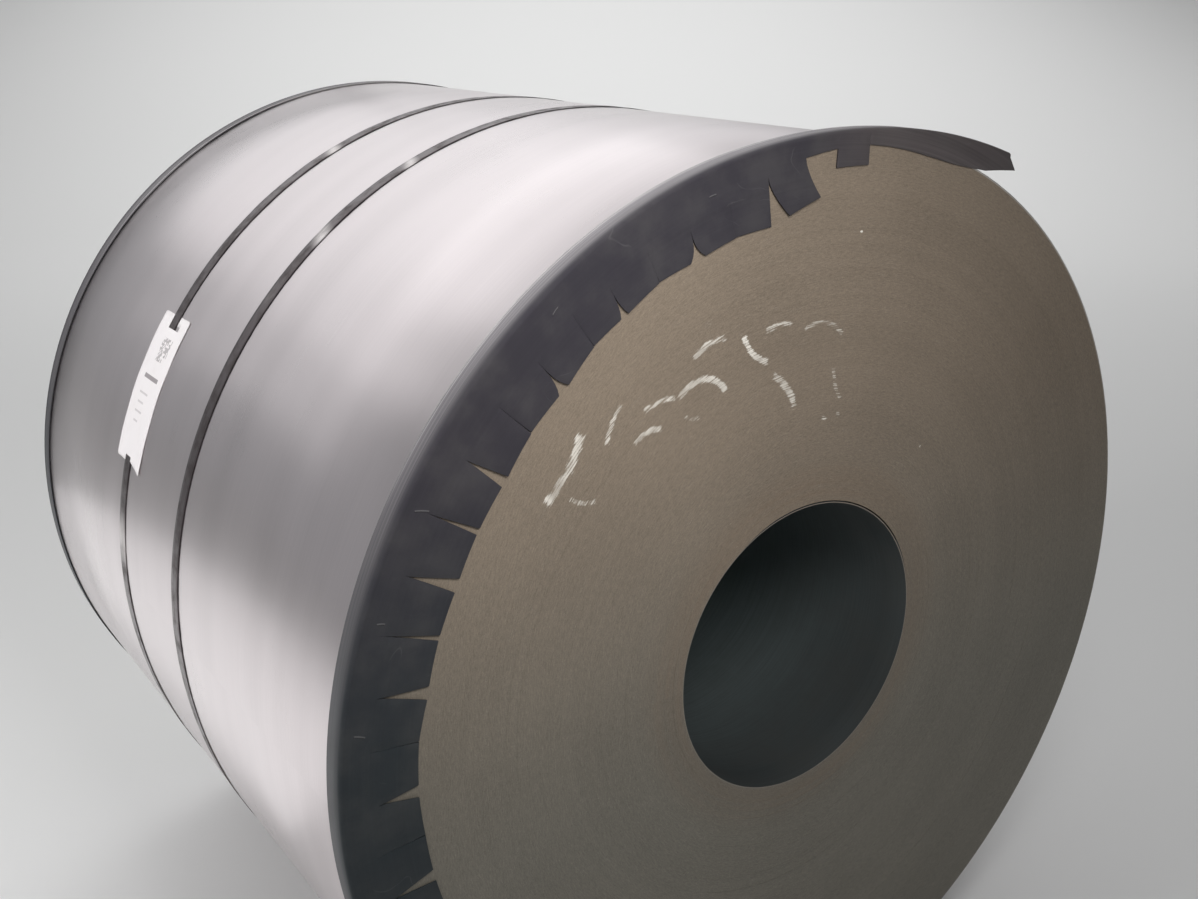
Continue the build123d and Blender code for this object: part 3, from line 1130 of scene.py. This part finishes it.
tag = {  # in mm and degrees
    "startAngle": 144.95,
    "wall": 0.6,
    "clear": 0.35,
    # corners of the card: along it from its upper end, across it in Y, and the rounding
    "outline": [
        (0, 124, 8), (0, 170, 1), (18, 170, 2), (18, 157, 1), (27, 157, 1), (27, 205, 2), (0, 205, 1),
        (0, 250, 8), (284, 250, 8), (284, 205, 1), (273, 205, 2), (273, 177, 2), (281, 177, 1),
        (293, 124, 1),
    ],
    "cell": 9.0,
    "strapRise": 0.9,  # how far the card is lifted where it crosses the strap
    "riseFlat": 14.4,  # it stays lifted so far from the strap's middle, then sinks over riseEase
    "riseEase": 28.8,
    "cornerCurl": 2.2,
    "upperCurl": 0.45,  # share of it at the upper corners
    "bow": 0.5,
    "card": (0.92, 0.88, 0.885, 1),
    "ink": (0.16, 0.13, 0.14, 1),
    "paleInk": (0.50, 0.46, 0.47, 1),
    "dirt": (0.60, 0.56, 0.53, 1),
    "roughness": 0.55,
    # print: from and to round the coil, and from and to across the card in Y
    "squares": (148.0, 151.2, 155, 199),
    "squaresPerMetre": 260,
    "bar": (153.1, 153.7, 150, 218),
    "faintBars": [(155.4, 155.7, 172, 214), (156.6, 156.9, 180, 210), (157.8, 158.1, 176, 212),
                  (159.0, 159.3, 184, 206)],
}


def roundedOutline(corners):
    # replaces each corner by a short arc that starts and ends so far from it
    points = []
    for k, (s, y, rounding) in enumerate(corners):
        here = Vector((s, y))
        before = (Vector(corners[k - 1][:2]) - here).normalized() * rounding
        after = (Vector(corners[(k + 1) % len(corners)][:2]) - here).normalized() * rounding
        for t in (0, 0.25, 0.5, 0.75, 1):
            points.append(here + before * (1 - t) ** 2 + after * t ** 2)
    return points


def makeTag(values, paint):
    # cut flat, then bent round the coil over the rear strap
    sheet = bmesh.new()
    outline = roundedOutline(values["outline"])
    sheet.faces.new([sheet.verts.new((p.x, p.y, 0)) for p in outline])
    length = max(p.x for p in outline)
    lowY = min(p.y for p in outline)
    highY = max(p.y for p in outline)
    cell = values["cell"]
    slices = [((k * cell, 0, 0), (1, 0, 0)) for k in range(1, int(length / cell) + 1)]
    slices += [((0, lowY + k * cell, 0), (0, 1, 0)) for k in range(1, int((highY - lowY) / cell))]
    for spot, direction in slices:
        geometry = sheet.verts[:] + sheet.edges[:] + sheet.faces[:]
        bmesh.ops.bisect_plane(sheet, geom=geometry, plane_co=spot, plane_no=direction)
    low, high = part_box("strap_rear")
    strapMiddle = (low[1] + high[1]) / 2 / mm
    for vert in sheet.verts:
        s, y = vert.co.x, vert.co.y
        past = max(0.0, abs(y - strapMiddle) - values["riseFlat"]) / values["riseEase"]
        rise = values["strapRise"] * max(0.0, 1 - past)
        toEnd = abs(s / length * 2 - 1)
        toSide = abs((y - lowY) / (highY - lowY) * 2 - 1)
        curl = values["cornerCurl"] * toEnd ** 8 * toSide ** 3
        curl *= 1.0 if s > length / 2 else values["upperCurl"]
        bow = values["bow"] * math.sin(s / length * math.pi * 3) ** 2 * toSide
        radius = coilRadius + (values["clear"] + rise + curl + bow) * mm
        angle = math.radians(values["startAngle"]) + s * mm / coilRadius
        vert.co = (radius * math.cos(angle), y * mm, radius * math.sin(angle))
    mesh = bpy.data.meshes.new("slottedTag")
    sheet.to_mesh(mesh)
    sheet.free()
    mesh.shade_smooth()
    mesh.materials.append(paint)
    piece = placed("slottedTag", mesh)
    solidify = piece.modifiers.new("wall", "SOLIDIFY")
    solidify.thickness = values["wall"] * mm
    solidify.offset = 1
    settle(piece)
    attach(piece, "root")
    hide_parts("coil_tag")


def within(value, low, high, fade=0.0006):
    return ramp(value, low, low + fade) * ramp(value, high - fade, high, 1, 0)


def blockMask(run, along, block):
    fromAngle, toAngle, fromY, toY = block
    inside = within(run, math.radians(fromAngle) * coilRadius, math.radians(toAngle) * coilRadius)
    return inside * within(along, fromY * mm, toY * mm)


def paintTag(values):
    # white card with a block of small squares, a bar and a few faint bars
    material, tree, shader = newMaterial("tagCard")
    place, _, angle, along = onObject(tree)
    run = angle * coilRadius
    row, column = [(way * values["squaresPerMetre"]).maths("FLOOR") for way in (along, run)]
    cells = addNode(tree, "ShaderNodeTexWhiteNoise", {"Vector": vectorOf(tree, row, column, 3.0)})
    squares = blockMask(run, along, values["squares"]) * out(cells, "Value").maths("GREATER_THAN", 0.48)
    bar = blockMask(run, along, values["bar"])
    faint = strongest([blockMask(run, along, block) for block in values["faintBars"]])
    smudge = patchesOn(place, size=0.03, cover=0.36, softness=0.2, seed=21.0)
    dark = (squares * 0.55 + bar * 0.75).maths("MINIMUM", 1.0)
    colour = layered(values, values["card"], (smudge * 0.16, "dirt"), (faint * 0.6, "paleInk"),
                     (dark, "ink"))
    giveFinish(shader, values, colour, smudge * 0.2, smudge, 0.05 * mm)
    return material


makeCoil(coil, [paintSheetFace(sheetFace), paintSheetEdges(sheetEdges), paintBoreWall(boreWall)])
print("stage: coil")
layGuard = guardTree()
guardPaint = paintGuard(guardPlastic)
makeGuard("frontGuard", frontPanels(guard), -1, guard, layGuard, guardPaint, "edge_guard_front")
makeGuard("rearGuard", rearPanels(guard), 1, guard, layGuard, guardPaint, "edge_guard_rear")
print("stage: guards")
layStrap = strapTree()
strapPaint = paintStrap(strapSteel)
for node in ("strap_front", "strap_rear"):
    makeStrap(node, strap, layStrap, strapPaint)
print("stage: straps")
makeTag(tag, paintTag(tag))
print("stage: tag")
